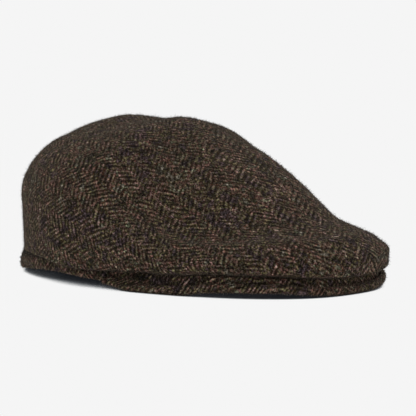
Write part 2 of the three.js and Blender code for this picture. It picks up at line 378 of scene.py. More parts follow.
def solve_cloth(count, edges, ties, fixed, target):
    """Least-squares cloth coordinate of every point, from the steps between neighbours."""
    matrix = np.zeros((count, count))
    right = np.zeros(count)
    rows = [(a, b, steps[target], weight**2) for a, b, *steps, weight in edges]
    rows += [(a, b, np.zeros(len(a)), np.full(len(a), TIE_WEIGHT)) for a, b in ties]
    for a, b, step, weight in rows:
        np.add.at(matrix, (a, a), weight)
        np.add.at(matrix, (b, b), weight)
        np.add.at(matrix, (a, b), -weight)
        np.add.at(matrix, (b, a), -weight)
        np.add.at(right, b, weight * step)
        np.add.at(right, a, -weight * step)
    matrix[fixed, fixed] += TIE_WEIGHT
    return np.linalg.solve(matrix, right)


def flatten_crown():
    """Cloth coordinates of half the crown on two grids, before and behind the dart."""
    places = np.linspace(0, 1, CLOTH_ROWS + 1)
    front = np.linspace(0, DART_TURN, CLOTH_TURNS_FRONT + 1)
    back = np.linspace(DART_TURN, 180, CLOTH_TURNS_BACK + 1)
    shape_front = (len(places), len(front))
    shape_back = (len(places), len(back))
    ids_front = np.arange(np.prod(shape_front)).reshape(shape_front)
    ids_back = np.arange(np.prod(shape_back)).reshape(shape_back) + ids_front.size
    edges = grid_edges(ids_front, front, places, False) + grid_edges(ids_back, back, places, True)
    whole = places >= DART_TOP
    top_ids = np.concatenate([ids_front[-1], ids_back[-1]])
    ties = [(ids_front[whole, -1], ids_back[whole, 0]), (top_ids[:-1], top_ids[1:])]
    count = ids_front.size + ids_back.size
    middle_line = np.concatenate([ids_front[:, 0], ids_back[:, -1]])
    across = solve_cloth(count, edges, ties, middle_line, 0)
    along = solve_cloth(count, edges, ties, ids_front[-1, :1], 1)
    cloth = np.stack([across, along], axis=-1)
    return places, (front, cloth[ids_front]), (back, cloth[ids_back])


CLOTH_PLACES, CLOTH_FRONT, CLOTH_BACK = flatten_crown()


def crown_cloth(turn, place, behind):
    """Cloth coordinates at a point of the crown, in millimetres, mirrored to the other side."""
    turns, grid = CLOTH_BACK if behind else CLOTH_FRONT
    at_turn = np.interp(np.abs(turn), turns, np.arange(len(turns)))
    at_place = np.interp(place, CLOTH_PLACES, np.arange(len(CLOTH_PLACES)))
    i = np.minimum(at_place.astype(int), len(CLOTH_PLACES) - 2)
    j = np.minimum(at_turn.astype(int), len(turns) - 2)
    s = (at_place - i)[..., None]
    t = (at_turn - j)[..., None]
    lower = grid[i, j] * (1 - t) + grid[i, j + 1] * t
    upper = grid[i + 1, j] * (1 - t) + grid[i + 1, j + 1] * t
    cloth = lower * (1 - s) + upper * s
    cloth[..., 0] *= np.where(turn < 0, -1, 1)
    return cloth


# Meshes

# Each seed takes the noise from another place, this far on
SEED_SHIFT = (17.3, 5.1, 9.7)


def add_object(name, data):
    thing = bpy.data.objects.new(name, data)
    bpy.context.scene.collection.objects.link(thing)
    return thing


def make_mesh(name, points, faces):
    mesh = bpy.data.meshes.new(name)
    mesh.from_pydata(placed(points).tolist(), [], faces)
    mesh.shade_smooth()
    return mesh


def make_object(name, points, faces, cloth, shade):
    """A piece with cloth coordinates on its mesh's face corners and its painted shade and light at its
    points.
    """
    mesh = make_mesh(name, points, faces)
    layer = mesh.uv_layers.new(name="cloth")
    layer.uv.foreach_set("vector", np.asarray(cloth, np.float32).ravel())
    attribute = mesh.attributes.new("shade", "FLOAT", "POINT")
    attribute.data.foreach_set("value", np.asarray(shade, np.float32).ravel())
    mesh.validate()
    return add_object(name, mesh)


def soft_noise(points, size, depth, seed):
    """Smooth noise at each point, with lumps of about this size and depth in millimetres."""
    shift = Vector([seed * part for part in SEED_SHIFT])
    flat = points.reshape(-1, 3) / size
    values = [noise.noise(Vector(point) + shift) for point in flat.tolist()]
    return np.array(values).reshape(points.shape[:-1]) * depth


def grid_normals(points, closed):
    """Outward normals of a grid of points whose rows run round the cap."""
    if closed:
        round_step = np.roll(points, -1, axis=1) - np.roll(points, 1, axis=1)
    else:
        round_step = np.gradient(points, axis=1)
    return unit(np.cross(round_step, np.gradient(points, axis=0)))


CROWN_STEPS = 432
CROWN_ROWS = 144
INNER_ROWS = 48
TINY_TURN = 1e-6
DART_DEPTH = 0.9
DART_WIDTH = 1.4
DART_FADE = 0.12

# Rows of the crown: this share is even over the cloth at this turn, and the rest over the place
EVEN_SHARE = 0.72
EVEN_TURN = 70.0
FINE_PLACES = 400

# Soft unevenness of the cloth: size of the lumps, how far they stand in millimetres, and seed
LUMPS = [(46, 0.9, 1), (19, 0.45, 2), (7, 0.2, 3), (3.2, 0.22, 4)]

# Soft folds of the slack crown: where (turn, place), how wide (degrees, share), how far out (mm)
FOLDS = [
    (-148, 0.42, 22, 0.09, 2.6),
    (-158, 0.68, 14, 0.05, -1.0),
    (172, 0.84, 24, 0.05, 1.5),
    (30, 0.89, 36, 0.05, -2.6),
    (30, 0.77, 22, 0.06, -1.3),
    (22, 0.655, 30, 0.045, -2.0),
    (22, 0.47, 22, 0.06, -1.3),
    (20, 0.2, 26, 0.12, -1.8),
    (-26, 0.53, 26, 0.045, 1.9),
    (-34, 0.66, 28, 0.06, -1.8),
    (-66, 0.62, 18, 0.09, -1.6),
    (-98, 0.55, 14, 0.12, 1.2),
    (42, 0.32, 24, 0.08, -2.8),
]

# The cloth lies looser from the first of these places to the second
LOOSE_PLACES = (0.02, 0.12)

# The lip of the crown hangs over the ends of the peak: turn, and how far in millimetres
LIP_HANG = [(0, 0.5), (20, 0.6), (40, 0.3), (50, 1.0), (62, 1.8), (72, 0.6), (84, 0), (180, 0)]
HANG_PLACE = 0.1
HANG_SPREAD = 0.09

# How much of the tuck at the rim the soft lip fills: all round, and more at the nape
LIP_TUCK = 0.62
LIP_ROLL = 0.05
LOOSE_NAPE = 0.75
NAPE_LOOSENS = (116, 146)

# Painted shade at the seams: how much darker the cloth is painted under the crown's lip, and where on
# the lip and the band the painted shade is darkest and open
LIP_SHADE = 0.5
LIP_DARK = 0.02
LIP_OPEN = 0.11
SEAM_SHADE = 0.84
BAND_DARK = 0.9
BAND_OPEN = 0.48

# On the peak: how much darker the painted shade makes the stitching and the ends of the inner roll,
# how much lighter the painted light makes the front rolls, and the turns between which the one gives
# way to the other
STITCH_SHADE = 0.8
ROLL_SHADE = 0.6
ROLL_DARKENS = (0.25, 0.8)
ROLL_PAINTED_LIGHT = 0.65
SHADE_TO_LIGHT_TURNS = (30, 55)


def crown_places():
    """Rows from the rim to the top, evenly spaced over the cloth but closer at the rolled rim."""
    fine = np.linspace(0, 1, FINE_PLACES)
    side = crown_outer(np.full_like(fine, EVEN_TURN), fine)
    walk = np.concatenate([[0], np.cumsum(np.linalg.norm(np.diff(side, axis=0), axis=1))])
    mixed = EVEN_SHARE * walk / walk[-1] + (1 - EVEN_SHARE) * fine
    return np.interp(np.linspace(0, 1, CROWN_ROWS + 1), mixed, fine)


def crown_draped(turn, place):
    """The crown's outer face with a fuller lip, which hangs over the ends of the peak."""
    point = crown_outer(turn, place)
    out = unit(point * np.array([1, 1, 0]))
    slack = crown_reach(turn) - rim_radius(turn)
    at_nape = LOOSE_NAPE * smoothstep(np.abs(turn), *NAPE_LOOSENS)
    looser = np.minimum(LIP_TUCK * smoothstep(place, 0, LIP_ROLL) + at_nape, LOOSE_NAPE)
    point = point + out * (slack * read_rings(1, place) * looser)[..., None]
    hang = read_table(LIP_HANG, 1, np.abs(turn)) * bell(place - HANG_PLACE, HANG_SPREAD)
    point[..., 2] -= hang * smoothstep(place, 0, HANG_PLACE)
    return point


def crown_surface(turn, place):
    """The crown's outer face with the soft cloth's folds and lumps and the two darts."""
    point = crown_draped(turn, place)
    normal = grid_normals(point, True)
    for fold_turn, fold_place, turns, places, push in FOLDS:
        aside = np.mod(turn - fold_turn + 180, 360) - 180
        bulge = push * bell(aside, turns) * bell(place - fold_place, places)
        point = point + normal * bulge[..., None]
    swell = sum(soft_noise(point, *lump) for lump in LUMPS)
    loose = smoothstep(place, *LOOSE_PLACES)
    sideways = (np.abs(turn) - DART_TURN) * np.radians(1) * head_radius(turn)
    below_tip = 1 - smoothstep(place, DART_TOP - DART_FADE, DART_TOP)
    dart = bell(sideways, DART_WIDTH) * below_tip
    return point + normal * (swell * loose - DART_DEPTH * dart * loose)[..., None]


def ring_faces(rings, steps, start=0, closed=False):
    """Quads between each closed ring of points and the next, or from the last to the first as well."""
    faces = []
    for ring in range(rings if closed else rings - 1):
        for step in range(steps):
            after = (step + 1) % steps
            low = start + ring * steps
            high = start + (ring + 1) % rings * steps
            faces.append((low + step, low + after, high + after, high + step))
    return faces


def crown_corners(faces, turns, places, tops):
    """Cloth coordinates at the faces' corners: each face takes one side of the dart and of the cap."""
    sizes = np.array([len(face) for face in faces])
    corner = np.concatenate([np.array(face) for face in faces])
    owner = np.repeat(np.arange(len(faces)), sizes)
    at_top = np.isin(corner, tops)
    raw = turns[corner]
    highest = np.full(len(faces), -np.inf)
    np.maximum.at(highest, owner, np.where(at_top, -np.inf, raw))
    lowest = np.full(len(faces), np.inf)
    np.minimum.at(lowest, owner, np.where(at_top, np.inf, raw))
    # A face across the back joins the last turn to the first
    wraps = highest - lowest > 90
    middle = np.where(wraps, 180 - 180 / CROWN_STEPS, (highest + lowest) / 2)
    face_turn = middle[owner]
    turn = np.where(at_top, face_turn, np.where(wraps[owner], np.abs(raw), raw))
    # On the middle line a corner belongs to its face's side
    turn = np.where(np.abs(turn) < TINY_TURN, np.sign(face_turn) * TINY_TURN, turn)
    behind = (np.abs(face_turn) > DART_TURN)[:, None]
    place = places[corner]
    return np.where(behind, crown_cloth(turn, place, True), crown_cloth(turn, place, False))


def make_crown():
    places = crown_places()[:-1]
    turns = np.arange(CROWN_STEPS) * 360 / CROWN_STEPS - 180
    turn, place = np.meshgrid(turns, places)
    outer = crown_surface(turn, place)
    normal = grid_normals(outer, True)
    picked = np.unique(np.linspace(0, len(places) - 1, INNER_ROWS).astype(int))
    inner = outer[picked] - normal[picked] * CROWN_WALL
    top = crown_outer(np.array(0.0), np.array(1.0))
    under = top - np.array([0, 0, CROWN_WALL])
    rows = len(places)
    inner_rows = len(picked)
    points = np.concatenate([outer.reshape(-1, 3), top[None], inner.reshape(-1, 3), under[None]])
    top_id = rows * CROWN_STEPS
    inner_start = top_id + 1
    under_id = inner_start + inner_rows * CROWN_STEPS
    faces = ring_faces(rows, CROWN_STEPS)
    last = (rows - 1) * CROWN_STEPS
    inner_last = inner_start + (inner_rows - 1) * CROWN_STEPS
    inside = [face[::-1] for face in ring_faces(inner_rows, CROWN_STEPS, inner_start)]
    for step in range(CROWN_STEPS):
        after = (step + 1) % CROWN_STEPS
        faces.append((last + step, last + after, top_id))
        inside.append((inner_last + after, inner_last + step, under_id))
        inside.append((after, step, inner_start + step, inner_start + after))
    faces += inside
    all_turns = np.concatenate([turn.ravel(), [0], np.tile(turns, inner_rows), [0]])
    all_places = np.concatenate([place.ravel(), [1], np.repeat(places[picked], CROWN_STEPS), [1]])
    cloth = crown_corners(faces, all_turns, all_places, (top_id, under_id))
    # Painted shade: the rolled lip is darkened towards the seam, where the lip's own shade falls
    shade = 1 - LIP_SHADE * (1 - smoothstep(all_places, LIP_DARK, LIP_OPEN))
    return make_object("crown_cloth", points, faces, cloth, shade), outer, normal


# Hem band

BAND_STEPS = 432
BAND_SECTION_POINTS = 28

# How far the band swells out, and how far it runs up behind the crown's lip, in millimetres
BAND_PUFF = 0.5
BAND_TUCK = 1.3

# Share of the hem's flare at the top of the band, which grows to all of it this far down
BAND_LEAN = 0.62
FOOT_SHARE = 0.6

# Softness of the section's sides and ends: 1 is round, 0 is square
SIDE_SOFTNESS = 0.45
END_SOFTNESS = 0.6

# Waves of the cloth: their size and how far they stand, in millimetres, and seed
BAND_WAVE = (11, 0.3, 5)
PEAK_WAVE = (12, 0.25, 7)

# Heights between which the peak's waves start, so that its foot lies flat
WAVE_STARTS = (0.5, 4)


def band_section(turn):
    """Points round the strip's section: a soft fold at the foot, flared where the cap stands."""
    low = hem_low(turn)
    high = hem_high(turn) + BAND_TUCK
    angle = np.arange(BAND_SECTION_POINTS) * 2 * math.pi / BAND_SECTION_POINTS
    # A rounded box: the sides bulge a little and the corners are soft
    side = np.sign(np.cos(angle)) * np.abs(np.cos(angle)) ** SIDE_SOFTNESS
    level = np.sign(np.sin(angle)) * np.abs(np.sin(angle)) ** END_SOFTNESS
    height = (low + high) / 2 + level * (high - low) / 2
    foot = np.clip((high - height) / (high - low), 0, 1)
    lean = BAND_LEAN + (1 - BAND_LEAN) * smoothstep(foot, 0, FOOT_SHARE)
    middle = BAND_THICKNESS / 2 - hem_flare(turn) * lean
    half = BAND_THICKNESS / 2 + BAND_PUFF * (1 - level**2) * (side > 0)
    inward = middle - side * half
    return polar(turn, head_radius(turn) - inward, height), height - low


def make_band():
    turns = np.arange(BAND_STEPS) * 360 / BAND_STEPS - 180
    sections = [band_section(turn) for turn in turns]
    points = np.array([section[0] for section in sections])
    heights = np.array([section[1] for section in sections])
    wave = soft_noise(points, *BAND_WAVE)
    outward = polar(turns[:, None], np.ones_like(heights), 0 * heights)
    points = points + outward * wave[..., None]
    points[..., 2] = np.maximum(points[..., 2], 0)
    count = BAND_SECTION_POINTS
    walk = np.concatenate([[0], np.cumsum(np.linalg.norm(np.diff(points[:, 0], axis=0), axis=1))])
    faces = [(a, d, c, b) for a, b, c, d in ring_faces(BAND_STEPS, count, closed=True)]
    corner = np.array(faces)
    along = walk[corner // count]
    # The last step's far corners lie where the cloth's end meets its start
    along[-count:, 1:3] = walk[-1] * (1 + 1 / BAND_STEPS)
    cloth = np.stack([along, heights.ravel()[corner]], axis=-1)
    normal = unit(outward)
    tall = (hem_high(turns) - hem_low(turns))[:, None]
    # Painted shade: the band is darkened towards its top, where the crown's lip shades it
    shade = 1 - SEAM_SHADE * smoothstep(heights / tall, BAND_OPEN, BAND_DARK)
    piece = make_object("hem_band_cloth", points.reshape(-1, 3), faces, cloth, shade)
    return piece, points, normal


# Peak

PEAK_STEPS = 300
PEAK_TOP_POINTS = 44
PEAK_LIP_POINTS = 12
PEAK_UNDER_POINTS = 22

# Points of a section crowd towards its edge: powers of the even share, on top and underneath
TOP_CROWDING = 1.6
UNDER_CROWDING = 1.3

# The line of stitching, the roll outside it and the fuller roll inside it, in millimetres
STITCH_INSET = 4.2
STITCH_DEPTH = 2.2
STITCH_WIDTH = 0.9
EDGE_PUFF = 1.3
EDGE_PUFF_WIDTH = 2.2
ROLL_PUFF = 4.6
ROLL_RISES = (-0.05, 0.35)
ROLL_FALLS = (0.85, 1)

# The rolls are full where the peak is as wide as the second of these, in millimetres
FULL_WIDTH = (6, 16)

# The front edge is worn back a little, fully so from this turn to the other side
EDGE_WEAR = 1.3
WEAR_TURN = 40

# How much of the room under the crown's lip the inner roll takes
LIP_SAMPLES = 24
LIP_PLACE = 0.24
LIP_SHARE = 0.95


def peak_section(turn):
    """One section of the peak, along the top, round the edge and back underneath, and its painted shade
    and light.
    """
    inner = head_radius(turn) + SEAM_GAP
    outer = peak_radius(turn) - EDGE_WEAR * smoothstep(abs(turn), PEAK_CORNER_TURN, WEAR_TURN)
    half = PEAK_THICKNESS / 2
    width = outer - half - inner
    from_edge = np.linspace(1, 0, PEAK_TOP_POINTS) ** TOP_CROWDING * width
    share = 1 - from_edge / (outer - inner)
    top_height = peak_under(turn, np.clip(share, 0, 1)) + PEAK_THICKNESS
    reach_in = from_edge + half
    stitch = bell(reach_in - STITCH_INSET, STITCH_WIDTH) * STITCH_DEPTH
    edge_roll = bell(reach_in - STITCH_INSET / 2, EDGE_PUFF_WIDTH) * EDGE_PUFF
    full = smoothstep(width, *FULL_WIDTH)
    top_height = top_height + (edge_roll - stitch) * full
    # Inside the stitching the cloth swells up under the crown's lip
    between = np.clip((reach_in - STITCH_INSET) / (RIM_MARGIN - STITCH_INSET), 0, 1)
    hump = smoothstep(between, *ROLL_RISES) * (1 - smoothstep(between, *ROLL_FALLS))
    swell = hump * ROLL_PUFF * full
    lip = crown_draped(np.full(LIP_SAMPLES, float(turn)), np.linspace(0, LIP_PLACE, LIP_SAMPLES))
    lip_radius = np.maximum.accumulate(np.linalg.norm(lip[:, :2], axis=1))
    roof = np.interp(inner + width - from_edge, lip_radius, lip[:, 2])
    room = np.maximum((roof - top_height) * LIP_SHARE - SEAM_GAP, 0)
    top_height = top_height + np.minimum(swell, room)
    top = np.stack([inner + width - from_edge, top_height], axis=-1)
    edge_under = peak_under(turn, 1.0)
    edge_top = top[-1, 1]
    bend = np.linspace(90, -90, PEAK_LIP_POINTS + 2)[1:-1]
    centre = (edge_top + edge_under) / 2
    edge = np.stack([
        inner + width + half * np.cos(np.radians(bend)),
        centre + (edge_top - edge_under) / 2 * np.sin(np.radians(bend)),
    ], axis=-1)
    back = np.linspace(0, 1, PEAK_UNDER_POINTS) ** UNDER_CROWDING * width
    under_share = 1 - back / (outer - inner)
    under = np.stack([inner + width - back, peak_under(turn, under_share)], axis=-1)
    section = np.concatenate([top, edge, under])
    # Painted shade darkens the stitching and the ends of the inner roll under the crown's lip, and
    # painted light lightens the front rolls beside the stitching
    near_end = smoothstep(abs(turn), *SHADE_TO_LIGHT_TURNS)
    roll_dark = ROLL_SHADE * near_end * smoothstep(between, *ROLL_DARKENS)
    dark = np.minimum(STITCH_SHADE * stitch / STITCH_DEPTH + roll_dark, SEAM_SHADE)
    painted_light = ROLL_PAINTED_LIGHT * (1 - near_end) * smoothstep(reach_in, 0, STITCH_INSET)
    shade = np.ones(len(section))
    shade[:PEAK_TOP_POINTS] = 1 + (painted_light - dark) * full
    return polar(turn, section[:, 0], section[:, 1]), shade


def make_peak():
    turns = np.linspace(PEAK_CORNER_TURN, -PEAK_CORNER_TURN, PEAK_STEPS + 1)
    sections = [peak_section(turn) for turn in turns]
    points = np.array([section[0] for section in sections])
    shade = np.array([section[1] for section in sections])
    wave = soft_noise(points, *PEAK_WAVE) * smoothstep(points[..., 2], *WAVE_STARTS)
    points[..., 2] = np.maximum(points[..., 2] + wave, 0)
    count = points.shape[1]
    faces = ring_faces(PEAK_STEPS + 1, count)
    ends = [points[0].mean(0), points[-1].mean(0)]
    first_id = (PEAK_STEPS + 1) * count
    for i in range(count):
        after = (i + 1) % count
        faces.append((first_id, after, i))
        faces.append((first_id + 1, PEAK_STEPS * count + i, PEAK_STEPS * count + after))
    flat = np.concatenate([points.reshape(-1, 3), ends])
    corner = np.concatenate([np.array(face) for face in faces])
    # The cloth lies straight to the front, and its height is counted along, so the edge is covered
    across = flat[:, 0]
    along = -flat[:, 1] - flat[:, 2]
    cloth = np.stack([across, along], axis=-1)[corner]
    return make_object("peak_cloth", flat, faces, cloth, [*shade.ravel(), 1, 1]), points


# Materials


class Nodes:
    """Shader nodes of one material, added with short calls."""

    def __init__(self, name):
        self.material = bpy.data.materials.new(name)
        self.material.use_nodes = True
        self.tree = self.material.node_tree
        self.shader = self.tree.nodes["Principled BSDF"]

    def add(self, kind):
        return self.tree.nodes.new("ShaderNode" + kind)

    def finish(self, values):
        """Values of the shader's own sockets."""
        for name, value in values.items():
            self.shader.inputs[name].default_value = value

    def link(self, value, socket):
        if isinstance(value, bpy.types.NodeSocket):
            self.tree.links.new(value, socket)
        else:
            socket.default_value = value

    def math(self, kind, *values, clamp=False):
        node = self.add("Math")
        node.operation = kind
        node.use_clamp = clamp
        for value, socket in zip(values, node.inputs):
            self.link(value, socket)
        return node.outputs[0]

    def vector(self, *parts):
        node = self.add("CombineXYZ")
        for value, socket in zip(parts, node.inputs):
            self.link(value, socket)
        return node.outputs[0]

    def noise(self, place, kind, output=0):
        node = self.add("TexNoise")
        self.link(place, node.inputs["Vector"])
        for value, name in zip(NOISES[kind], ("Scale", "Detail", "Roughness")):
            node.inputs[name].default_value = value
        return node.outputs[output]

    def random(self, place):
        node = self.add("TexWhiteNoise")
        node.noise_dimensions = "3D"
        self.link(place, node.inputs["Vector"])
        return node.outputs["Value"]

    def spread(self, value, low, high, start=0.0, end=1.0, kind="SMOOTHSTEP"):
        node = self.add("MapRange")
        node.interpolation_type = kind
        for item, socket in zip((value, low, high, start, end), node.inputs):
            self.link(item, socket)
        return node.outputs[0]

    def ramp(self, value, stops):
        node = self.add("ValToRGB")
        elements = node.color_ramp.elements
        while len(elements) < len(stops):
            elements.new(0.5)
        for element, (position, colour) in zip(elements, stops):
            element.position = position
            element.color = (*colour, 1)
        self.link(value, node.inputs[0])
        return node.outputs[0]

    def mix(self, share, first, second, kind="MIX"):
        node = self.add("Mix")
        node.data_type = "RGBA"
        node.blend_type = kind
        self.link(share, node.inputs["Factor"])
        for value, socket in ((first, node.inputs[6]), (second, node.inputs[7])):
            self.link((*value, 1) if isinstance(value, tuple) else value, socket)
        return node.outputs[2]

    def scaled(self, colour, factor):
        """The colour times a number."""
        return self.mix(1.0, colour, self.vector(factor, factor, factor), "MULTIPLY")


# Yarn colours as albedo: the lighter warp is spun from mixed browns, the weft is near black
WARP_COLOURS = [
    (0.0, (0.030, 0.027, 0.023)),
    (0.2, (0.058, 0.046, 0.041)),
    (0.35, (0.070, 0.058, 0.042)),
    (0.5, (0.098, 0.078, 0.060)),
    (0.65, (0.098, 0.066, 0.050)),
    (0.8, (0.098, 0.077, 0.070)),
    (1.0, (0.190, 0.163, 0.140)),
]
WEFT_COLOURS = [
    (0.0, (0.008, 0.007, 0.004)),
    (0.4, (0.014, 0.008, 0.004)),
    (0.6, (0.026, 0.016, 0.009)),
    (0.8, (0.014, 0.011, 0.008)),
    (1.0, (0.034, 0.025, 0.016)),
]
# Dyed wool lies in the yarn in patches of these tints: mauve (two stops), olive, tan, plain, rust,
# tan, dark green, grey green
PATCH_TINTS = [
    (0.0, (1.04, 0.86, 1.08)),
    (0.18, (1.06, 0.86, 1.10)),
    (0.32, (0.86, 1.04, 0.54)),
    (0.42, (1.06, 1.02, 0.80)),
    (0.54, (1.02, 0.96, 0.94)),
    (0.66, (1.30, 0.83, 0.86)),
    (0.78, (1.06, 0.98, 0.80)),
    (0.90, (0.66, 0.90, 0.60)),
    (1.0, (0.84, 0.88, 0.80)),
]
FIBRE_TINT = (0.20, 0.175, 0.15)

# A two and two twill: each yarn is two over, two under. Beside each column the twill breaks.
TWILL_PERIOD = 4.0
BREAK_YARNS = 2.0
FLOAT_HEIGHT = 0.7
YARN_ROUNDNESS = 0.45

# How far the yarns wander from straight, in yarns, with these kinds of noise
YARN_WANDER = {"drift": 2.2, "wobble": 1.4, "uneven": 0.5}

# Noise in the cloth: features in a metre (for spinning, in a strand), octaves, roughness
NOISES = {
    "hair": (2300.0, 3.0, 0.65),
    "flecks": (1150.0, 1.0, 0.5),
    "grain": (1050.0, 2.0, 0.7),
    "fibre": (900.0, 1.0, 0.5),
    "uneven": (800.0, 2.0, 0.5),
    "ragged": (700.0, 3.0, 0.5),
    "mottle": (400.0, 2.0, 0.6),
    "wobble": (300.0, 2.0, 0.5),
    "patches": (170.0, 2.0, 0.5),
    "dye": (170.0, 3.0, 0.6),
    "felt": (95.0, 3.0, 0.5),
    "drift": (55.0, 2.0, 0.5),
    "wide_dye": (42.0, 2.0, 0.5),
    "spinning": (1.0, 2.5, 0.7),
}

# Brightness: a value between the first two numbers gives a factor between the last two
TONES = {
    "float": (0.0, 1.0, 0.55, 1.5),
    # The relief tone is painted shade: the cloth is darker between the yarns, where their shade falls
    "relief": (-0.1, 1.0, 0.25, 1.25),
    "hair": (0.3, 0.75, 0.55, 1.5),
    "grain": (0.3, 0.72, 0.1, 2.0),
    "mottle": (0.3, 0.7, 0.2, 1.92),
}

# The same four numbers for a smooth step: how well the weave shows through the felted nap, where
# the warp shows, how thick the flecks lie, and how much painted shade darkens the cloth in a crease
FELTED = (0.36, 0.62, 1.0, 0.2)
WARP_SHOWS = (-0.42, 0.42, 0.0, 1.0)
FLECKED = (0.67, 0.76, 0.0, 0.85)
PAINTED_CREASE_SHADE = (0.2, 0.85, 0.3, 1.0)
CREASE_REACH = 0.003
CREASE_SAMPLES = 6

# Frayed floats: the middle of their noise, and how strongly it pulls warp and weft about
RAGGED_MIDDLE = 0.495
RAGGED_PULL = 5.0

# Colour along a yarn: how far apart two yarns lie in the noise, how fast one changes, and contrast
YARN_APART = 5.37
YARN_CHANGE = 0.13
COLOUR_CONTRAST = 2.1
WARP_SEED = 3.7
WEFT_SEED = 9.2
WIDE_DYE_SHARE = 0.6
DYE_RANGE = (0.6, 1.0)

# Relief of the bump, in millimetres, with the shares of the hairs and of the frayed floats in it
WEAVE_RELIEF = 0.4
HAIR_RELIEF = 0.9
RAGGED_RELIEF = 0.25
BUMP_STRENGTH = 0.9

TWEED_FINISH = {
    "Roughness": 0.92,
    "Specular IOR Level": 0.07,
    "Sheen Weight": 0.03,
    "Sheen Roughness": 0.45,
    "Sheen Tint": (0.62, 0.55, 0.48, 1),
}


def wandering_yarns(n, cloth, place):
    """Yarns counted across and along the cloth, which wander a little from straight lines."""
    split = n.add("SeparateXYZ")
    n.link(cloth, split.inputs[0])
    counts = [n.math("DIVIDE", split.outputs[axis], YARN_PITCH) for axis in (0, 1)]
    for kind, reach in YARN_WANDER.items():
        drift = n.add("SeparateXYZ")
        n.link(n.noise(place, kind, output=1), drift.inputs[0])
        counts = [n.math("MULTIPLY_ADD", drift.outputs[axis], reach, counts[axis]) for axis in (0, 1)]
    return counts


def weave(n, u, v):
    """For warp and weft: the yarn's number, its height, and a random value for each float."""
    wide = float(COLUMN_YARNS)
    odd = n.math("FLOORED_MODULO", n.math("FLOOR", n.math("DIVIDE", u, wide)), 2.0)
    break_step = n.math("MULTIPLY", odd, BREAK_YARNS)
    warp_yarn = n.math("FLOOR", u)
    weft_yarn = n.math("FLOOR", v)
    warp_climb = n.math("PINGPONG", n.math("ADD", warp_yarn, 0.5), wide)
    weft_climb = n.math("ADD", n.math("PINGPONG", u, wide), break_step)
    found = []
    for yarn, across, phase, sign in (
        (warp_yarn, u, n.math("ADD", warp_climb, n.math("ADD", v, break_step)), 1.0),
        (weft_yarn, v, n.math("ADD", weft_climb, n.math("ADD", weft_yarn, 0.5)), -1.0),
    ):
        wave = n.math("SINE", n.math("MULTIPLY", phase, math.tau / TWILL_PERIOD))
        over = n.math("MULTIPLY", wave, sign)
        part = n.math("SUBTRACT", across, yarn)
        profile = n.math("MULTIPLY", n.math("MULTIPLY", part, 4.0), n.math("SUBTRACT", 1.0, part))
        rounded = n.math("MULTIPLY", profile, YARN_ROUNDNESS)
        height = n.math("MULTIPLY_ADD", over, FLOAT_HEIGHT, rounded)
        # Each float, the stretch that one yarn lies on top, has its own brightness
        float_row = n.math("FLOOR", n.math("DIVIDE", phase, TWILL_PERIOD))
        found.append((yarn, height, n.random(n.vector(yarn, float_row, sign))))
    return found


def yarn_colour(n, yarn, along, single, patches, stops, seed):
    """Colour of a yarn, which changes from yarn to yarn, along its length and in soft patches."""
    across = n.math("MULTIPLY", yarn, YARN_APART)
    strand = n.vector(across, n.math("MULTIPLY", along, YARN_CHANGE), seed)
    mixed = n.math("ADD", n.math("SUBTRACT", patches, 0.5), n.noise(strand, "spinning"))
    from_middle = n.math("SUBTRACT", mixed, 0.5)
    wide = n.math("MULTIPLY_ADD", from_middle, COLOUR_CONTRAST, 0.5, clamp=True)
    return n.scaled(n.ramp(wide, stops), n.spread(single, *TONES["float"], "LINEAR"))


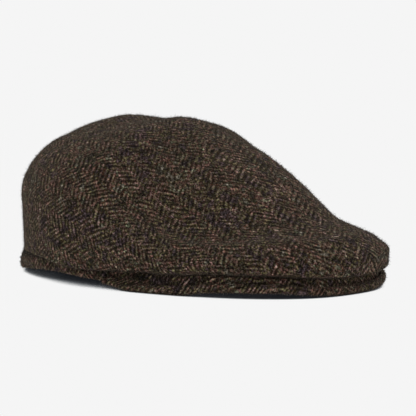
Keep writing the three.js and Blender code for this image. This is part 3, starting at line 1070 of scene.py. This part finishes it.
def tweed_material(name):
    n = Nodes(name)
    cloth_map = n.add("UVMap")
    cloth_map.uv_map = "cloth"
    place = n.add("TexCoord").outputs["Object"]
    u, v = wandering_yarns(n, cloth_map.outputs[0], place)
    warp, weft = weave(n, u, v)
    # Where the nap is felted the weave hardly shows, and elsewhere its floats are frayed
    felted = n.spread(n.noise(place, "felt"), *FELTED)
    woven = n.math("MULTIPLY", n.math("SUBTRACT", warp[1], weft[1]), felted)
    frayed = n.math("SUBTRACT", n.noise(place, "ragged"), RAGGED_MIDDLE)
    ragged = n.math("MULTIPLY", frayed, RAGGED_PULL)
    warp_shows = n.spread(n.math("ADD", woven, ragged), *WARP_SHOWS)
    patches = n.noise(place, "patches")
    warp_colour = yarn_colour(n, warp[0], v, warp[2], patches, WARP_COLOURS, WARP_SEED)
    weft_colour = yarn_colour(n, weft[0], u, weft[2], patches, WEFT_COLOURS, WEFT_SEED)
    cloth = n.mix(warp_shows, weft_colour, warp_colour)
    # Light and dark: painted shade between the yarns by their relief, then single hairs, coarse grain
    # and soft mottling
    height = n.math("MAXIMUM", warp[1], weft[1])
    hair = n.noise(place, "hair")
    tones = {"relief": height, "hair": hair}
    for kind in ("grain", "mottle"):
        tones[kind] = n.noise(place, kind)
    for kind, value in tones.items():
        cloth = n.scaled(cloth, n.spread(value, *TONES[kind], "LINEAR"))
    wide_dye = n.noise(place, "wide_dye")
    dye = n.math("MULTIPLY_ADD", wide_dye, WIDE_DYE_SHARE, n.noise(place, "dye"))
    tint = n.ramp(n.spread(dye, *DYE_RANGE, kind="LINEAR"), PATCH_TINTS)
    cloth = n.mix(1.0, cloth, tint, "MULTIPLY")
    cloth = n.mix(n.spread(n.noise(place, "flecks"), *FLECKED), cloth, FIBRE_TINT)
    # Painted shade: the cloth is darkened in creases by ambient occlusion within a short reach, and by
    # each piece's painted shade and light at its points
    crease = n.add("AmbientOcclusion")
    crease.samples = CREASE_SAMPLES
    crease.inputs["Distance"].default_value = CREASE_REACH
    painted_shade_attribute = n.add("Attribute")
    painted_shade_attribute.attribute_name = "shade"
    painted_shade = n.math("MULTIPLY", n.spread(crease.outputs["AO"], *PAINTED_CREASE_SHADE), painted_shade_attribute.outputs["Fac"])
    n.link(n.scaled(cloth, painted_shade), n.shader.inputs["Base Color"])
    relief = n.math("MULTIPLY_ADD", ragged, RAGGED_RELIEF, height)
    bump = n.add("Bump")
    bump.inputs["Strength"].default_value = BUMP_STRENGTH
    bump.inputs["Distance"].default_value = WEAVE_RELIEF * MM
    n.link(n.math("MULTIPLY_ADD", hair, HAIR_RELIEF, relief), bump.inputs["Height"])
    n.link(bump.outputs[0], n.shader.inputs["Normal"])
    n.finish(TWEED_FINISH)
    return n.material


FIBRE_FINISH = {"Roughness": 0.8, "Specular IOR Level": 0.08}
FIBRE_RANGE = (0.25, 0.75)
FIBRE_COLOURS = [
    (0.0, (0.014, 0.011, 0.008)),
    (0.35, (0.034, 0.028, 0.018)),
    (0.5, (0.075, 0.060, 0.044)),
    (0.62, (0.090, 0.052, 0.038)),
    (0.75, (0.150, 0.125, 0.100)),
    (1.0, (0.280, 0.245, 0.205)),
]


def fibre_material():
    n = Nodes("wool_fibre")
    place = n.add("TexCoord").outputs["Object"]
    tone = n.spread(n.noise(place, "fibre"), *FIBRE_RANGE, kind="LINEAR")
    colour = n.ramp(tone, FIBRE_COLOURS)
    n.link(colour, n.shader.inputs["Base Color"])
    n.finish(FIBRE_FINISH)
    return n.material


# Loose wool fibres standing off the cloth

FIBRE_SIDES = 3
FIBRE_RADIUS = {"fibres": 0.05, "nap": 0.1}
FIBRE_SHORTEST = 0.9
FIBRE_TAPER = 0.8

# Lean from the cloth's normal in degrees, how sharply a fibre bends at its middle, how much it
# rises again, how far it stands from its grid point and how deep its root is, in millimetres
FIBRE_LEAN = (10, 75)
FIBRE_BEND = 0.7
FIBRE_RISE = 0.15
FIBRE_SCATTER = 0.6
FIBRE_ROOT = 0.15

# The two ends of a row can lie far apart, so no step counts for more than this
WIDEST_STEP = 5

FIRST_SEED = 11
BENT_SEED = 10


def make_fibres(name, points, normals, count, seed, longest, radius, bent):
    """Loose fibres rooted on a grid of surface points, as one joined mesh of closed spikes.

    The longest and the radius are in millimetres, and a bent fibre has a joint at its middle.
    """
    rng = np.random.default_rng(seed)
    flat = points.reshape(-1, 3)
    normal = normals.reshape(-1, 3)
    right = np.linalg.norm(np.roll(points, -1, axis=1) - points, axis=-1)
    down = np.linalg.norm(np.gradient(points, axis=0), axis=-1)
    area = np.minimum(right, WIDEST_STEP) * down
    chosen = rng.choice(len(flat), count, p=(area / area.sum()).ravel())
    spin = rng.normal(size=(count, 3))
    sideways = unit(spin - normal[chosen] * (spin * normal[chosen]).sum(-1, keepdims=True))
    lean = np.radians(rng.uniform(*FIBRE_LEAN, count))[:, None]
    length = (FIBRE_SHORTEST + (longest - FIBRE_SHORTEST) * rng.random(count) ** 2)[:, None]
    first = normal[chosen] * np.cos(lean) + sideways * np.sin(lean)
    bend = unit(rng.normal(size=(count, 3)))
    second = unit(first + bend * FIBRE_BEND + normal[chosen] * FIBRE_RISE)
    scatter = sideways * rng.uniform(-FIBRE_SCATTER, FIBRE_SCATTER, (count, 1))
    root = flat[chosen] + scatter - normal[chosen] * FIBRE_ROOT
    joint = root + first * length / 2
    tip = joint + second * length / 2
    side_a = unit(np.cross(first, bend))
    side_b = np.cross(first, side_a)
    rings = []
    levels = [(root, radius), (joint, radius * FIBRE_TAPER)] if bent else [(root, radius)]
    for centre, width in levels:
        for k in range(FIBRE_SIDES):
            angle = 2 * math.pi * k / FIBRE_SIDES
            rings.append(centre + (side_a * math.cos(angle) + side_b * math.sin(angle)) * width)
    strands = np.stack([*rings, tip], axis=1)
    strands[..., 2] = np.maximum(strands[..., 2], radius)
    pattern = [(2, 1, 0)]
    last = len(rings)
    for k in range(FIBRE_SIDES):
        after = (k + 1) % FIBRE_SIDES
        if bent:
            pattern += [(k, after, after + FIBRE_SIDES), (k, after + FIBRE_SIDES, k + FIBRE_SIDES)]
        pattern.append((last - FIBRE_SIDES + k, last - FIBRE_SIDES + after, last))
    faces = np.array(pattern)[None] + np.arange(count)[:, None, None] * strands.shape[1]
    mesh = make_mesh(name, strands.reshape(-1, 3), faces.reshape(-1, 3).tolist())
    return add_object(name, mesh)


# Floor, light and camera

FLOOR_SIDE = 12
FLOOR_DROP = 0.2
FLOOR_FINISH = {
    "Base Color": (0, 0, 0, 1),
    "Roughness": 1,
    "Specular IOR Level": 0,
    "Emission Strength": 1,
}
STUDIO_WHITE = 0.913

# The painted shadow on the floor: its glow darkens by how much of the sky over it is open within the
# reach
SHADOW_REACH = 0.15
SHADOW_SAMPLES = 16
SHADOW_TONES = [
    (0.12, (0.008, 0.009, 0.011)),
    (0.24, (0.16, 0.17, 0.18)),
    (0.40, (STUDIO_WHITE, STUDIO_WHITE, STUDIO_WHITE)),
]

# Soft boxes: turn from the camera's side and rise in degrees, distance and size in metres, watts
LIGHTS = {
    "overhead": (165, 62, 1.6, 1.1, 2),
    "fill": (-35, 35, 2.0, 1.4, 2),
}
LIGHT_TARGET = (0, 0, 0.05)


def make_floor():
    bpy.ops.mesh.primitive_plane_add(size=FLOOR_SIDE, location=(0, 0, -FLOOR_DROP * MM))
    floor = bpy.context.object
    floor.name = "floor"
    # A glowing white table with a painted shadow, dark only where the cap stands close over it
    n = Nodes("pale_floor")
    open_sky = n.add("AmbientOcclusion")
    open_sky.samples = SHADOW_SAMPLES
    open_sky.inputs["Distance"].default_value = SHADOW_REACH
    glow = n.ramp(open_sky.outputs["AO"], SHADOW_TONES)
    n.link(glow, n.shader.inputs["Emission Color"])
    n.finish(FLOOR_FINISH)
    floor.data.materials.append(n.material)


def direction(turn, rise):
    """Unit vector at this turn from the front and this rise from the level, in degrees."""
    turn = math.radians(turn)
    rise = math.radians(rise)
    level = math.cos(rise)
    return Vector((math.sin(turn) * level, -math.cos(turn) * level, math.sin(rise)))


def aim(thing, target):
    thing.rotation_euler = (Vector(target) - thing.location).to_track_quat("-Z", "Y").to_euler()


def make_light(name, turn, rise, distance, size, power):
    """A square soft box that looks at the cap."""
    data = bpy.data.lights.new(name, "AREA")
    data.shape = "SQUARE"
    data.size = size
    data.energy = power
    lamp = add_object(name, data)
    lamp.location = direction(VIEW_TURN + turn, rise) * distance
    aim(lamp, LIGHT_TARGET)


def make_world(strength):
    world = bpy.data.worlds.new("studio")
    world.use_nodes = True
    background = world.node_tree.nodes["Background"]
    background.inputs[0].default_value = (1, 1, 1, 1)
    background.inputs[1].default_value = strength
    bpy.context.scene.world = world


def make_camera():
    right = direction(VIEW_TURN + 90, 0)
    back = direction(VIEW_TURN, VIEW_RISE)
    up = back.cross(right)
    half = PHOTO_SIDE / 2
    aside = (half - ORIGIN_PIXEL[0]) * PIXEL_SIZE
    above = (ORIGIN_PIXEL[1] - half) * PIXEL_SIZE
    target = (right * aside + up * above) * MM
    data = bpy.data.cameras.new("camera")
    data.sensor_fit = "HORIZONTAL"
    data.sensor_width = SENSOR
    data.lens = SENSOR * VIEW_DISTANCE / (PHOTO_SIDE * PIXEL_SIZE)
    data.clip_start, data.clip_end = CLIP
    camera = add_object("camera", data)
    camera.location = target + back * VIEW_DISTANCE * MM
    aim(camera, target)
    bpy.context.scene.camera = camera


make_camera()
make_world(STUDIO_WHITE)
for light, numbers in LIGHTS.items():
    make_light(light, *numbers)
make_floor()
bpy.context.scene.view_settings.view_transform = "Standard"

tweed = tweed_material("herringbone_tweed")
fibre = fibre_material()

crown, crown_points, crown_normals = make_crown()
band, band_points, band_normals = make_band()
peak, peak_points = make_peak()
for piece, node in ((crown, "crown"), (band, "hem_band"), (peak, "peak")):
    piece.data.materials.append(tweed)
    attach(piece, "root")
    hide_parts(node)

# Each piece has long loose fibres and a shorter nap: how many, and the longest in millimetres
FUZZ = {
    "crown": {"fibres": (16000, 3.2), "nap": (48000, 2.2)},
    "band": {"fibres": (2400, 2.6), "nap": (7000, 1.9)},
    "peak": {"fibres": (2600, 2.4), "nap": (9000, 1.9)},
}
outside = BAND_SECTION_POINTS // 4
band_rows = np.r_[BAND_SECTION_POINTS - outside:BAND_SECTION_POINTS, 0:outside]
band_shown = band_points[:, band_rows]
peak_shown = peak_points[:, PEAK_TOP_POINTS // 2:PEAK_TOP_POINTS + PEAK_LIP_POINTS]
grounds = {
    "crown": (crown_points, crown_normals),
    "band": (band_shown, np.broadcast_to(band_normals[:, :1], band_shown.shape)),
    "peak": (peak_shown, -grid_normals(peak_shown, False)),
}
for seed, (name, kinds) in enumerate(FUZZ.items(), FIRST_SEED):
    for kind, (count, longest) in kinds.items():
        bent = kind == "fibres"
        options = (count, seed + BENT_SEED * bent, longest, FIBRE_RADIUS[kind], bent)
        piece = make_fibres(f"{name}_{kind}", *grounds[name], *options)
        piece.data.materials.append(fibre)
        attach(piece, "root")
